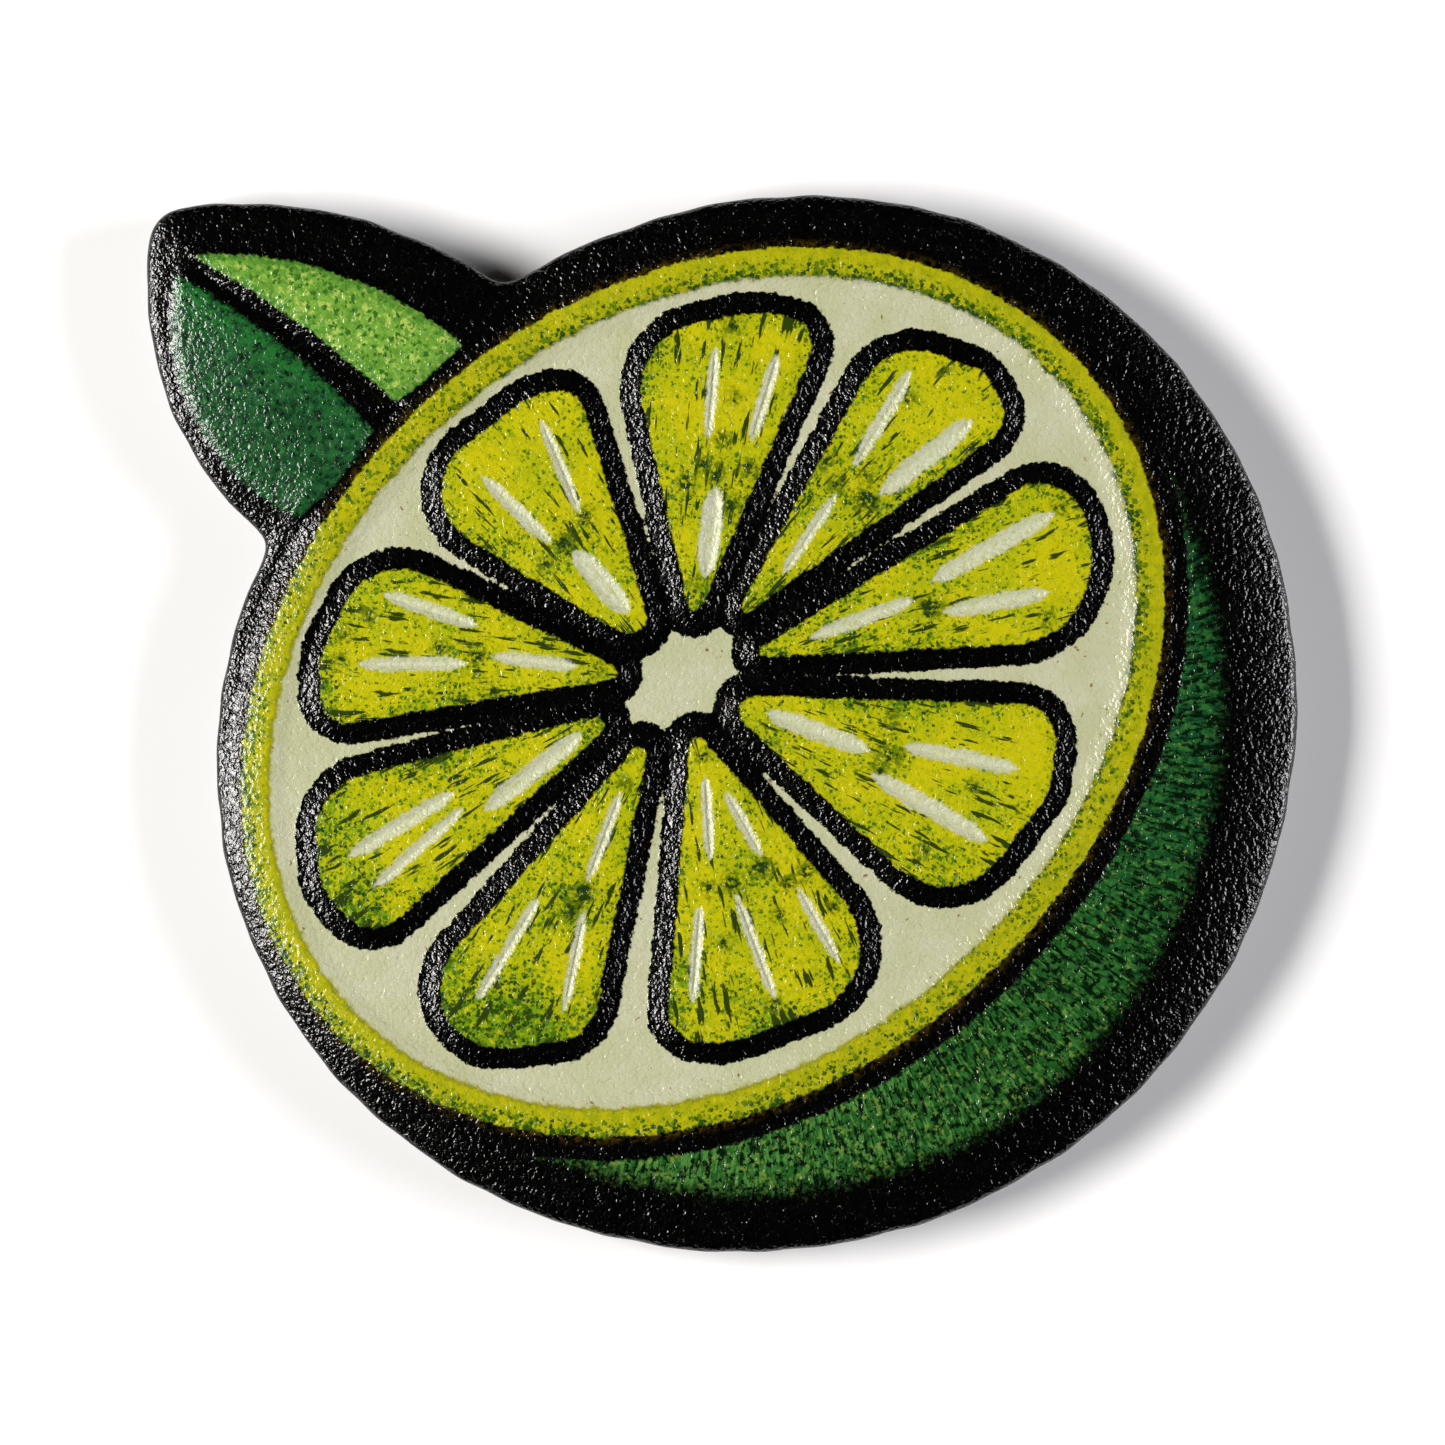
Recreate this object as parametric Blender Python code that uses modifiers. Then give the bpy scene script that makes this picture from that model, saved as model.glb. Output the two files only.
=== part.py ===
"""A flat leather patch, embossed and printed with a cut lime and one leaf, glued to a suede backing.

The patch lies face up: +Z comes out of the printed face, +X runs to the picture's right and +Y to its top.
The origin is under the middle of the patch, on the surface that it lies on. The sizes below are in
millimetres, and the model is in metres. The picture's outlines are written for a patch of drawn_width, and
they grow with patch_width. Layers, heights, borders and roundings are sizes of their own and don't."""

import math

import bmesh
import bpy

MM = 0.001

# Overall width, and the width that the picture's outlines are written for
patch_width = 45.0
drawn_width = 45.0

# Layers, from the back to the front
backing_thickness = 0.7
backing_inset = 0.3
glue_line = 0.3
leather_thickness = 1.5
edge_round = 0.9

# How far each pressed form stands above or below the black border's level
pith_depth = 0.25
segment_height = 0.45
rind_height = 0.15
peel_height = 0.12
leaf_height = 0.15
form_root = 0.5
form_round = 0.15

# Widths along the forms: the segments' slope, the rind and how far the pith runs under it, the black line
# round the rind, and the black border outside the peel
segment_slope = 0.25
rind_width = 1.1
rind_lap = 0.3
rind_line = 0.95
peel_border = 2.5

# The fruit's cut edge: a circle, drawn out along one axis, with three shallow lobes
fruit_centre = (1.55, -0.2)
fruit_radius = 20.8
fruit_swell = 0.7
fruit_swell_direction = 35
fruit_lobe = 0.23
fruit_lobe_direction = -50

# The cut disc of the fruit is a circle seen at a slant, so it is an ellipse. Its centre is given from the
# fruit's centre, and the black border is left between its ends and the fruit's cut edge
disc_offset = (-2.33, 1.38)
disc_border = 1.3
disc_slant = 0.8
disc_direction = 40

# The leaf grows from the fruit's cut edge in this direction, and its corners are given from that point, each
# with how far the arc to the next corner rises. Its two roots run on under the fruit's edge
leaf_direction = 140
leaf_tip_low = (-8.6, 5.75, 0.45)
leaf_tip_high = (-7.4, 7.45, 1.9)
leaf_root_upper_direction = 117
leaf_root_lower_direction = 161
leaf_root_depth = 3.0
leaf_lower_rise = 2.4

# The two printed halves of the leaf, either side of its midrib
leaf_halves = {
    "upper": ((-6.9, 5.55, 1.1), (3.6, 2.05, 0.1), (1.0, -0.15, -0.3)),
    "lower": ((-7.5, 4.75, 0.4), (0.1, -1.25, 0.3), (-2.8, -4.65, 1.85)),
}

# The nine juice segments, clockwise from the one that points up: core corner, then the outer corners, given
# from the disc's centre for a disc of this radius, each with the radius that rounds it
drawn_disc_radius = 19.5
segments = {
    "top": ((-0.4, 2.2, 0.4), (4.8, 14.3, 1.5), (2.2, 15.0, 5.0), (-3.0, 13.8, 3.0)),
    "upper_right": ((0.8, 2.3, 0.3), (12.2, 10.4, 1.5), (11.1, 12.5, 1.3), (7.2, 14.0, 2.6)),
    "right": ((1.2, 1.2, 0.3), (14.3, 1.9, 3.0), (15.6, 5.8, 3.8), (13.8, 8.9, 2.3)),
    "lower_right": ((0.2, 0.0, 0.7), (9.8, -9.0, 2.7), (13.6, -3.9, 1.8), (14.1, -0.4, 2.0)),
    "bottom": ((-0.5, -1.1, 0.4), (-1.5, -13.4, 1.5), (0.7, -13.9, 5.4), (8.2, -11.1, 2.8)),
    "lower_left": ((-1.8, -1.1, 0.4), (-10.8, -11.2, 2.8), (-9.3, -14.1, 4.6), (-4.3, -13.6, 2.0)),
    "left": ((-2.7, -0.5, 0.4), (-15.2, -3.6, 2.6), (-15.0, -7.7, 2.4), (-12.9, -9.9, 1.5)),
    "upper_left": ((-2.4, 0.6, 0.4), (-12.8, 5.7, 2.5), (-15.0, 1.5, 2.3), (-15.0, -1.5, 1.2)),
    "leaf_side": ((-1.5, 1.2, 0.8), (-4.8, 12.0, 1.5), (-6.7, 11.7, 3.0), (-12.0, 7.6, 2.3)),
}

# How finely curves are drawn
fruit_steps = 108
disc_steps = 72
arc_steps = 10
corner_steps = 5
round_steps = 3

# How far a cutter runs past what it cuts, and how close two points are made one
cutter_overrun = 1.0
weld = 0.001

picture_scale = patch_width / drawn_width
disc_radius = fruit_radius - disc_border


# Outlines. Each is a list of (x, y) in millimetres


def placed(corners, origin, scale):
    """Corners given from an origin, put in their place on the patch at this scale."""
    return tuple((origin[0] + x * scale, origin[1] + y * scale, size * scale) for x, y, size in corners)


def fruit_point(direction, inset=0.0):
    """The point of the fruit's cut edge in this direction from its centre, moved inwards by the inset."""
    angle = math.radians(direction)
    swell = fruit_swell * math.cos(2 * (angle - math.radians(fruit_swell_direction)))
    lobe = fruit_lobe * math.cos(3 * (angle - math.radians(fruit_lobe_direction)))
    reach = (fruit_radius + swell + lobe) * picture_scale - inset
    x = fruit_centre[0] * picture_scale + reach * math.cos(angle)
    y = fruit_centre[1] * picture_scale + reach * math.sin(angle)
    return (x, y)


def disc_centre():
    x = (fruit_centre[0] + disc_offset[0]) * picture_scale
    y = (fruit_centre[1] + disc_offset[1]) * picture_scale
    return (x, y)


def disc_point(direction, outset=0.0):
    """The point of the slanted disc's rim at this turn from its long axis, moved outwards by the outset."""
    angle = math.radians(direction)
    along = (disc_radius * picture_scale + outset) * math.cos(angle)
    across = (disc_radius * disc_slant * picture_scale + outset) * math.sin(angle)
    turn = math.radians(disc_direction)
    centre_x, centre_y = disc_centre()
    x = centre_x + along * math.cos(turn) - across * math.sin(turn)
    y = centre_y + along * math.sin(turn) + across * math.cos(turn)
    return (x, y)


def arc(start, end, rise):
    """Points from start up to but not including end, on an arc that rises to the left of the way there."""
    chord = math.dist(start, end)
    radius = (chord * chord / 4 + rise * rise) / (2 * rise)
    left = ((start[1] - end[1]) / chord, (end[0] - start[0]) / chord)
    centre_x = (start[0] + end[0]) / 2 + left[0] * (rise - radius)
    centre_y = (start[1] + end[1]) / 2 + left[1] * (rise - radius)
    first = math.atan2(start[1] - centre_y, start[0] - centre_x)
    last = math.atan2(end[1] - centre_y, end[0] - centre_x)
    turn = (last - first + math.pi) % (2 * math.pi) - math.pi
    angles = [first + turn * step / arc_steps for step in range(arc_steps)]
    size = abs(radius)
    return [(centre_x + size * math.cos(angle), centre_y + size * math.sin(angle)) for angle in angles]


def arc_outline(corners):
    """A closed outline of arcs from corner to corner, each corner with the rise of the arc that leaves it."""
    points = []
    for corner, following in zip(corners, corners[1:] + corners[:1]):
        points += arc(corner[:2], following[:2], corner[2])
    return points


def rounded_outline(corners, outset):
    """A closed outline of straight sides with rounded corners, moved outwards by the outset."""
    points = []
    for before, corner, after in zip(corners[-1:] + corners[:-1], corners, corners[1:] + corners[:1]):
        to_before = math.atan2(before[1] - corner[1], before[0] - corner[0])
        to_after = math.atan2(after[1] - corner[1], after[0] - corner[0])
        spread = (to_after - to_before + math.pi) % (2 * math.pi) - math.pi
        middle = to_before + spread / 2
        half = abs(spread) / 2
        room = 0.5 * min(math.dist(before[:2], corner[:2]), math.dist(after[:2], corner[:2]))
        radius = min(corner[2], room * math.tan(half))
        centre_x = corner[0] + radius / math.sin(half) * math.cos(middle)
        centre_y = corner[1] + radius / math.sin(half) * math.sin(middle)
        first = to_before - math.copysign(math.pi / 2, spread)
        turn = -math.copysign(math.pi - 2 * half, spread)
        for step in range(corner_steps + 1):
            angle = first + turn * step / corner_steps
            x = centre_x + (radius + outset) * math.cos(angle)
            y = centre_y + (radius + outset) * math.sin(angle)
            points.append((x, y))
    return points


def leaf_outline(inset=0.0):
    """The leaf's cut edge. Its root lies inside the fruit."""
    lower_root = fruit_point(leaf_root_lower_direction, leaf_root_depth)
    upper_root = fruit_point(leaf_root_upper_direction, leaf_root_depth)
    tip_low, tip_high = placed((leaf_tip_low, leaf_tip_high), fruit_point(leaf_direction), picture_scale)
    points = arc(lower_root, tip_low[:2], leaf_lower_rise * picture_scale)
    points += arc(tip_low[:2], tip_high[:2], tip_low[2])
    points += arc(tip_high[:2], upper_root, tip_high[2])
    points.append(upper_root)
    return moved_in(points, inset)


def moved_in(outline, distance):
    """A closed outline that turns clockwise, moved inwards by the distance."""
    points = []
    for before, point, after in zip(outline[-1:] + outline[:-1], outline, outline[1:] + outline[:1]):
        inwards = math.atan2(after[1] - before[1], after[0] - before[0]) - math.pi / 2
        points.append((point[0] + distance * math.cos(inwards), point[1] + distance * math.sin(inwards)))
    return points


def fruit_outline(inset=0.0):
    return [fruit_point(360 * step / fruit_steps, inset) for step in range(fruit_steps)]


def disc_outline(outset):
    return [disc_point(360 * step / disc_steps, outset) for step in range(disc_steps)]


def patch_middle():
    """The middle of the box round the whole cut edge, which the origin lies under."""
    points = fruit_outline() + leaf_outline()
    across = [point[0] for point in points]
    along = [point[1] for point in points]
    return ((min(across) + max(across)) / 2, (min(along) + max(along)) / 2)


# Building


def new_collection(name):
    collection = bpy.data.collections.new(name)
    bpy.context.scene.collection.children.link(collection)
    return collection


def clear_scene():
    for scene_object in list(bpy.data.objects):
        bpy.data.objects.remove(scene_object)


def finish(name, colour, roughness):
    material = bpy.data.materials.new(name)
    material.use_nodes = True
    surface = material.node_tree.nodes["Principled BSDF"]
    surface.inputs["Base Color"].default_value = (*colour, 1)
    surface.inputs["Roughness"].default_value = roughness
    surface.inputs["Metallic"].default_value = 0
    return material


def slab(name, outlines, low, high, collection):
    """A flat solid between two heights. A second outline inside the first is a hole."""
    curve = bpy.data.curves.new(name, "CURVE")
    curve.dimensions = "2D"
    curve.fill_mode = "BOTH"
    curve.extrude = (high - low) / 2 * MM
    middle_x, middle_y = patch_middle()
    for outline in outlines:
        spline = curve.splines.new("POLY")
        spline.points.add(len(outline) - 1)
        spline.use_cyclic_u = True
        for place, (x, y) in zip(spline.points, outline):
            place.co = ((x - middle_x) * MM, (y - middle_y) * MM, 0, 1)
    drawn = bpy.data.objects.new(name + "_curve", curve)
    drawn.location.z = (low + high) / 2 * MM
    bpy.context.scene.collection.objects.link(drawn)
    bpy.context.view_layer.update()

    mesh = bpy.data.meshes.new_from_object(drawn.evaluated_get(bpy.context.evaluated_depsgraph_get()))
    shape = bmesh.new()
    shape.from_mesh(mesh)
    bmesh.ops.remove_doubles(shape, verts=shape.verts, dist=weld * MM)
    bmesh.ops.dissolve_limit(shape, angle_limit=math.radians(0.1), verts=shape.verts, edges=shape.edges)
    bmesh.ops.recalc_face_normals(shape, faces=shape.faces)
    shape.to_mesh(mesh)
    shape.free()
    mesh.shade_smooth()
    mesh.set_sharp_from_angle(angle=math.radians(40))

    solid = bpy.data.objects.new(name, mesh)
    solid.matrix_world = drawn.matrix_world
    collection.objects.link(solid)
    bpy.data.objects.remove(drawn)
    return solid


def round_top(solid, width):
    """Rounds the edge all round a slab's upper face."""
    mesh = solid.data
    top = max(vertex.co.z for vertex in mesh.vertices)
    weights = mesh.attributes.new("bevel_weight_edge", "FLOAT", "EDGE")
    for edge in mesh.edges:
        if all(top - mesh.vertices[index].co.z < weld * MM for index in edge.vertices):
            weights.data[edge.index].value = 1
    bevel = solid.modifiers.new("rounded_top", "BEVEL")
    bevel.limit_method = "WEIGHT"
    bevel.width = width * MM
    bevel.segments = round_steps
    return solid


def combine(solid, operation, other):
    """Joins another solid, or every solid of a collection, to this one or cuts it away."""
    boolean = solid.modifiers.new(other.name, "BOOLEAN")
    boolean.operation = operation
    boolean.solver = "EXACT"
    if isinstance(other, bpy.types.Collection):
        boolean.operand_type = "COLLECTION"
        boolean.collection = other
    else:
        boolean.object = other


def hide_cutters(collection):
    for cutter in collection.all_objects:
        cutter.hide_render = True
        cutter.display_type = "WIRE"


def press_forms(border_level, forms, cutters):
    """The raised forms that the die presses into the leather, each rooted under the surface round it."""
    root = border_level - pith_depth - form_root
    rind = [disc_outline(0), disc_outline(-rind_width)]
    round_top(slab("rind_form", rind, root, border_level + rind_height, forms), form_round)
    for name, corners in segments.items():
        grown = picture_scale * disc_radius / drawn_disc_radius
        outline = rounded_outline(placed(corners, disc_centre(), grown), segment_slope)
        top = border_level - pith_depth + segment_height
        round_top(slab(f"segment_{name}_form", [outline], root, top, forms), segment_slope)
    for name, corners in leaf_halves.items():
        outline = arc_outline(placed(corners, fruit_point(leaf_direction), picture_scale))
        top = border_level + leaf_height
        round_top(slab(f"leaf_{name}_form", [outline], root, top, forms), form_round)
    peel = slab("peel_form", [fruit_outline(peel_border)], root, border_level + peel_height, forms)
    round_top(peel, form_round)
    low = root - cutter_overrun
    high = border_level + cutter_overrun
    combine(peel, "DIFFERENCE", slab("peel_inner_cutter", [disc_outline(rind_line)], low, high, cutters))


def build_leather(parts, forms, cutters):
    """The printed face: one piece of leather, with a rounded edge, a sunk pith and raised forms."""
    low = backing_thickness + glue_line
    border_level = low + leather_thickness
    leather = round_top(slab("embossed_leather", [fruit_outline()], low, border_level, parts), edge_round)
    leaf = round_top(slab("leaf_cutter", [leaf_outline()], low, border_level, cutters), edge_round)
    pith_floor = border_level - pith_depth
    pith_rim = disc_outline(rind_lap - rind_width)
    pith = slab("pith_cutter", [pith_rim], pith_floor, border_level + cutter_overrun, cutters)
    press_forms(border_level, forms, cutters)
    combine(leather, "UNION", leaf)
    combine(leather, "DIFFERENCE", pith)
    combine(leather, "UNION", forms)
    leather.data.materials.append(finish("printed_leather", (0.03, 0.03, 0.03), 0.45))


def build_backing(parts, cutters):
    """The flat backing that the leather is glued to, cut a little smaller so that it doesn't show."""
    backing = slab("suede_backing", [fruit_outline(backing_inset)], 0, backing_thickness, parts)
    leaf = slab("backing_leaf_cutter", [leaf_outline(backing_inset)], 0, backing_thickness, cutters)
    combine(backing, "UNION", leaf)
    backing.data.materials.append(finish("backing_suede", (0.07, 0.06, 0.055), 0.95))


clear_scene()
parts = new_collection("lime_patch")
forms = new_collection("pressed_forms")
cutters = new_collection("cutters")
build_leather(parts, forms, cutters)
build_backing(parts, cutters)
hide_cutters(forms)
hide_cutters(cutters)
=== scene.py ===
import math

import bpy
import numpy as np
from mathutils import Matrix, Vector
from mathutils.geometry import delaunay_2d_cdt


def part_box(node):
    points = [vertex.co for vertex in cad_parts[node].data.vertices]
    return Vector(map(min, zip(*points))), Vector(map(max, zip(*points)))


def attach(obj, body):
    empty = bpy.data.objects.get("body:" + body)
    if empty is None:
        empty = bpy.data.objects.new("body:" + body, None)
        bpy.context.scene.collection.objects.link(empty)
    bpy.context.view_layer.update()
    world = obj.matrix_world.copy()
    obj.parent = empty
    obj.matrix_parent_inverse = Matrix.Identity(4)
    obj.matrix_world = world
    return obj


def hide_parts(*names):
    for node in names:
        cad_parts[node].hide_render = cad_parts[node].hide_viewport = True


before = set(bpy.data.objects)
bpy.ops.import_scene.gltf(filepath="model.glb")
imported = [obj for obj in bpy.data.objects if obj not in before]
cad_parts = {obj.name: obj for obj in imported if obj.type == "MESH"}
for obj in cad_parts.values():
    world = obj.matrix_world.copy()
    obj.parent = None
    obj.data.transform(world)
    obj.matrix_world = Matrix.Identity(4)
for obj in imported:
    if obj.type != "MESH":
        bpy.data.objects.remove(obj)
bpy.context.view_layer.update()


# ---------------------------------------------------------------------------------------------------------
# The leather face. One piece of black calf leather, glued to the backing all over. A heated die presses the
# fruit and the leaf up out of it and the streaks down into it, inks are sprayed on, and a steel rule cuts it
# out round the drawing, which drags its edge down.

# Sizes are in millimetres. Places on the fruit are given from the middle of its cut disc, and places on the
# leaf from where it grows out of the fruit's cut edge.
MM = 0.001

fruit_centre = np.array((1.55, -0.2))
fruit_radius = 20.8
fruit_swell = 0.7
fruit_swell_direction = 35
fruit_lobe = 0.23
fruit_lobe_direction = -50

disc_centre = fruit_centre + (-2.33, 1.38)
disc_border = 1.3
disc_radius = fruit_radius - disc_border
disc_slant = 0.8
disc_direction = 40
core = disc_centre + (-0.85, 0.6)

leaf_direction = 140
leaf_tip_low = (-8.6, 5.75)
leaf_tip_high = (-7.4, 7.45)
leaf_upper_root_direction = 117
leaf_lower_root_direction = 161
leaf_root_depth = 3.0
leaf_lower_rise = 2.4
leaf_tip_rise = 0.45
leaf_upper_rise = 1.9

# Each corner of a printed half of the leaf has the rise of the arc that leaves it
leaf_light_half = ((-6.9, 5.55, 1.1), (3.6, 2.05, 0.1), (1.0, -0.15, -0.3))
leaf_dark_half = ((-7.5, 4.75, 0.4), (0.1, -1.25, 0.3), (-2.8, -4.65, 1.85))
leaf_midrib = ((-7.6, 5.6), (2.2, -1.0))

rind_width = 1.1
peel_line = 0.95
segment_line = 0.76
peel_border = 2.5

# Each segment has its corner at the core and then its outer corners, with the radius that rounds each
segments = {
    "top": ((-0.4, 2.2, 0.4), (4.8, 14.3, 1.5), (2.2, 15.0, 5.0), (-3.0, 13.8, 3.0)),
    "upper_right": ((0.8, 2.3, 0.3), (12.2, 10.4, 1.5), (11.1, 12.5, 1.3), (7.2, 14.0, 2.6)),
    "right": ((1.2, 1.2, 0.3), (14.3, 1.9, 3.0), (15.6, 5.8, 3.8), (13.8, 8.9, 2.3)),
    "lower_right": ((0.2, 0.0, 0.7), (9.8, -9.0, 2.7), (13.6, -3.9, 1.8), (14.1, -0.4, 2.0)),
    "bottom": ((-0.5, -1.1, 0.4), (-1.5, -13.4, 1.5), (0.7, -13.9, 5.4), (8.2, -11.1, 2.8)),
    "lower_left": ((-1.8, -1.1, 0.4), (-10.8, -11.2, 2.8), (-9.3, -14.1, 4.6), (-4.3, -13.6, 2.0)),
    "left": ((-2.7, -0.5, 0.4), (-15.2, -3.6, 2.6), (-15.0, -7.7, 2.4), (-12.9, -9.9, 1.5)),
    "upper_left": ((-2.4, 0.6, 0.4), (-12.8, 5.7, 2.5), (-15.0, 1.5, 2.3), (-15.0, -1.5, 1.2)),
    "leaf_side": ((-1.5, 1.2, 0.8), (-4.8, 12.0, 1.5), (-6.7, 11.7, 3.0), (-12.0, 7.6, 2.3)),
}

# Each streak runs between two points and has half a width
streaks = (
    (0.5, 13.4, 0.2, 9.9, 0.2), (2.9, 13.1, 1.9, 9.8, 0.23), (0.5, 8.0, 0.1, 4.5, 0.39),
    (8.1, 12.5, 5.9, 8.8, 0.25), (10.5, 10.6, 6.9, 7.7, 0.39), (5.2, 7.7, 3.1, 4.6, 0.2),
    (13.7, 7.0, 8.9, 4.3, 0.35), (13.5, 3.9, 9.4, 3.1, 0.31), (8.2, 3.6, 4.2, 2.1, 0.27),
    (2.5, -0.8, 6.5, -2.3, 0.35), (7.9, -2.1, 12.3, -3.0, 0.31), (6.6, -3.2, 11.1, -5.8, 0.35),
    (0.1, -3.3, 0.3, -6.5, 0.2), (0.9, -3.9, 2.3, -6.4, 0.2),
    (-0.1, -8.3, -0.4, -12.1, 0.2), (1.3, -7.9, 2.8, -11.9, 0.2), (3.7, -7.6, 5.3, -10.5, 0.2),
    (-3.2, -3.9, -4.5, -7.4, 0.2), (-6.4, -8.0, -8.8, -12.0, 0.21), (-4.6, -8.5, -5.4, -12.4, 0.18),
    (-4.7, -1.6, -8.5, -4.6, 0.35), (-9.7, -3.9, -13.8, -6.4, 0.29), (-9.3, -4.5, -12.8, -7.6, 0.23),
    (-12.4, 3.8, -8.8, 2.6, 0.27), (-13.4, 1.1, -9.2, 1.1, 0.27), (-8.2, 1.4, -4.9, 1.0, 0.25),
    (-6.3, 10.6, -4.8, 7.0, 0.2), (-8.6, 8.4, -5.9, 5.8, 0.25), (-5.0, 5.5, -2.9, 3.1, 0.43),
)

# Dark green spots of ink, each with its radius, gathered where a segment's streaks meet
spots = (
    (-0.6, 8.2, 0.28), (0.5, 8.5, 0.25), (1.8, 8.7, 0.25), (1.2, 11.5, 0.15), (0.8, 9.8, 0.2),
    (0.1, 8.9, 0.2), (1.2, 14.2, 0.2), (1.1, 7.3, 0.25), (-0.2, 4.3, 0.15), (4.8, 9.0, 0.25),
    (5.2, 8.1, 0.22), (6.4, 7.5, 0.38), (6.4, 8.4, 0.15), (9.4, 12.5, 0.15), (8.1, 11.4, 0.12),
    (13.9, 7.2, 0.2), (13.4, 2.9, 0.22), (8.9, 3.3, 0.35), (7.4, -1.1, 0.15), (7.3, -2.5, 0.3),
    (6.9, -3.0, 0.22), (10.5, -3.7, 0.15), (8.6, -6.2, 0.15), (2.3, -6.8, 0.32), (1.2, -7.4, 0.3),
    (0.2, -7.6, 0.2), (3.4, -7.4, 0.22), (4.0, -7.0, 0.25), (0.0, -2.5, 0.15), (3.0, -8.7, 0.18),
    (0.9, -9.8, 0.18), (5.1, -8.4, 0.15), (2.8, -12.2, 0.18), (-4.6, -7.8, 0.35),
    (-5.2, -8.5, 0.3), (-3.0, -3.6, 0.15), (-8.8, 1.4, 0.25), (-10.2, 1.7, 0.22), (-13.0, 3.0, 0.15),
    (-4.1, 0.9, 0.15), (-13.9, 2.2, 0.15), (-14.1, 1.3, 0.18), (-8.1, 0.0, 0.2), (-4.6, 6.8, 0.28),
    (-5.4, 5.8, 0.32), (-6.1, 5.0, 0.2),
)

# Where the airbrush greens the pulp: a place, how far the touch spreads, and how strong it is
airbrush = (
    (-3.6, 12.6, 1.8, 0.5), (0.6, 8.0, 1.6, 0.5), (0.2, 3.4, 0.9, 0.9), (5.6, 8.0, 1.6, 0.6),
    (9.2, 8.7, 1.3, 0.4), (3.0, 3.6, 1.1, 0.8), (9.0, 6.4, 1.6, 0.7), (5.4, 1.7, 1.6, 0.8),
    (9.4, 1.6, 1.8, 0.5), (13.6, 8.2, 1.2, 0.4), (3.2, -1.6, 0.9, 0.6), (7.2, -0.3, 1.6, 0.6),
    (7.2, -2.6, 1.0, 0.7), (10.6, -8.0, 1.8, 0.5), (8.2, -6.5, 1.5, 0.4), (2.4, -13.0, 1.7, 0.8),
    (-0.9, -11.6, 1.6, 0.7), (6.2, -11.2, 1.5, 0.4), (1.6, -7.2, 1.2, 0.4), (-9.8, -12.8, 1.8, 1.2),
    (-6.4, -13.6, 1.8, 1.2),
    (-10.5, -10.4, 1.4, 0.6), (-5.0, -8.0, 1.3, 0.7), (-7.0, -12.5, 1.6, 0.7), (-15.2, -5.6, 1.7, 0.9),
    (-13.8, -8.8, 1.9, 1.2), (-11.0, -3.0, 1.6, 0.6), (-4.0, -1.2, 1.2, 0.6), (-8.0, -3.0, 1.4, 0.4),
    (-14.8, 3.2, 1.4, 0.7), (-14.6, -0.4, 1.5, 0.7), (-9.0, 1.3, 1.0, 0.6), (-11.0, 5.1, 1.3, 0.4),
    (-10.0, -0.9, 1.6, 0.5), (-11.9, 8.4, 1.6, 0.5), (-8.5, 5.2, 1.4, 0.4), (-5.2, 5.8, 1.1, 0.6),
)


def fruit_edge(directions, inset=0.0):
    """The points of the fruit's cut edge in these directions from its centre, moved inwards by the inset."""
    angle = np.radians(directions)
    swell = fruit_swell * np.cos(2 * (angle - math.radians(fruit_swell_direction)))
    lobe = fruit_lobe * np.cos(3 * (angle - math.radians(fruit_lobe_direction)))
    reach = fruit_radius + swell + lobe - inset
    return fruit_centre + np.column_stack((reach * np.cos(angle), reach * np.sin(angle)))


leaf_foot = fruit_edge([leaf_direction])[0]


def outline_of_fruit(step=2.0):
    return fruit_edge(np.arange(0, 360, step))


def outline_of_disc(step=3.0):
    angle = np.radians(np.arange(0, 360, step))
    turn = math.radians(disc_direction)
    along = disc_radius * np.cos(angle)
    across = disc_radius * disc_slant * np.sin(angle)
    x = along * math.cos(turn) - across * math.sin(turn)
    y = along * math.sin(turn) + across * math.cos(turn)
    return disc_centre + np.column_stack((x, y))


def arc(start, end, rise, steps=24):
    """Points from start up to but not including end, on an arc that rises to the left of the way there."""
    start = np.array(start, float)
    end = np.array(end, float)
    chord = math.dist(start, end)
    radius = (chord * chord / 4 + rise * rise) / (2 * rise)
    left = np.array((start[1] - end[1], end[0] - start[0])) / chord
    centre = (start + end) / 2 + left * (rise - radius)
    first = math.atan2(*(start - centre)[::-1])
    last = math.atan2(*(end - centre)[::-1])
    turn = (last - first + math.pi) % (2 * math.pi) - math.pi
    angle = first + turn * np.arange(0, 1, 1 / steps)
    return centre + abs(radius) * np.column_stack((np.cos(angle), np.sin(angle)))


def outline_of_leaf():
    """The leaf's cut edge, from its lower root round its tip to its upper root. Both lie under the fruit."""
    lower, upper = fruit_edge([leaf_lower_root_direction, leaf_upper_root_direction], leaf_root_depth)
    tip_low = leaf_foot + leaf_tip_low
    tip_high = leaf_foot + leaf_tip_high
    return np.vstack((
        arc(lower, tip_low, leaf_lower_rise),
        arc(tip_low, tip_high, leaf_tip_rise),
        arc(tip_high, upper, leaf_upper_rise),
        [upper],
    ))


def outline_of_leaf_half(corners):
    """The outline of a printed half of the leaf, from its corners."""
    ends = corners[1:] + corners[:1]
    return np.vstack([arc(leaf_foot + a[:2], leaf_foot + b[:2], a[2]) for a, b in zip(corners, ends)])


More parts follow.
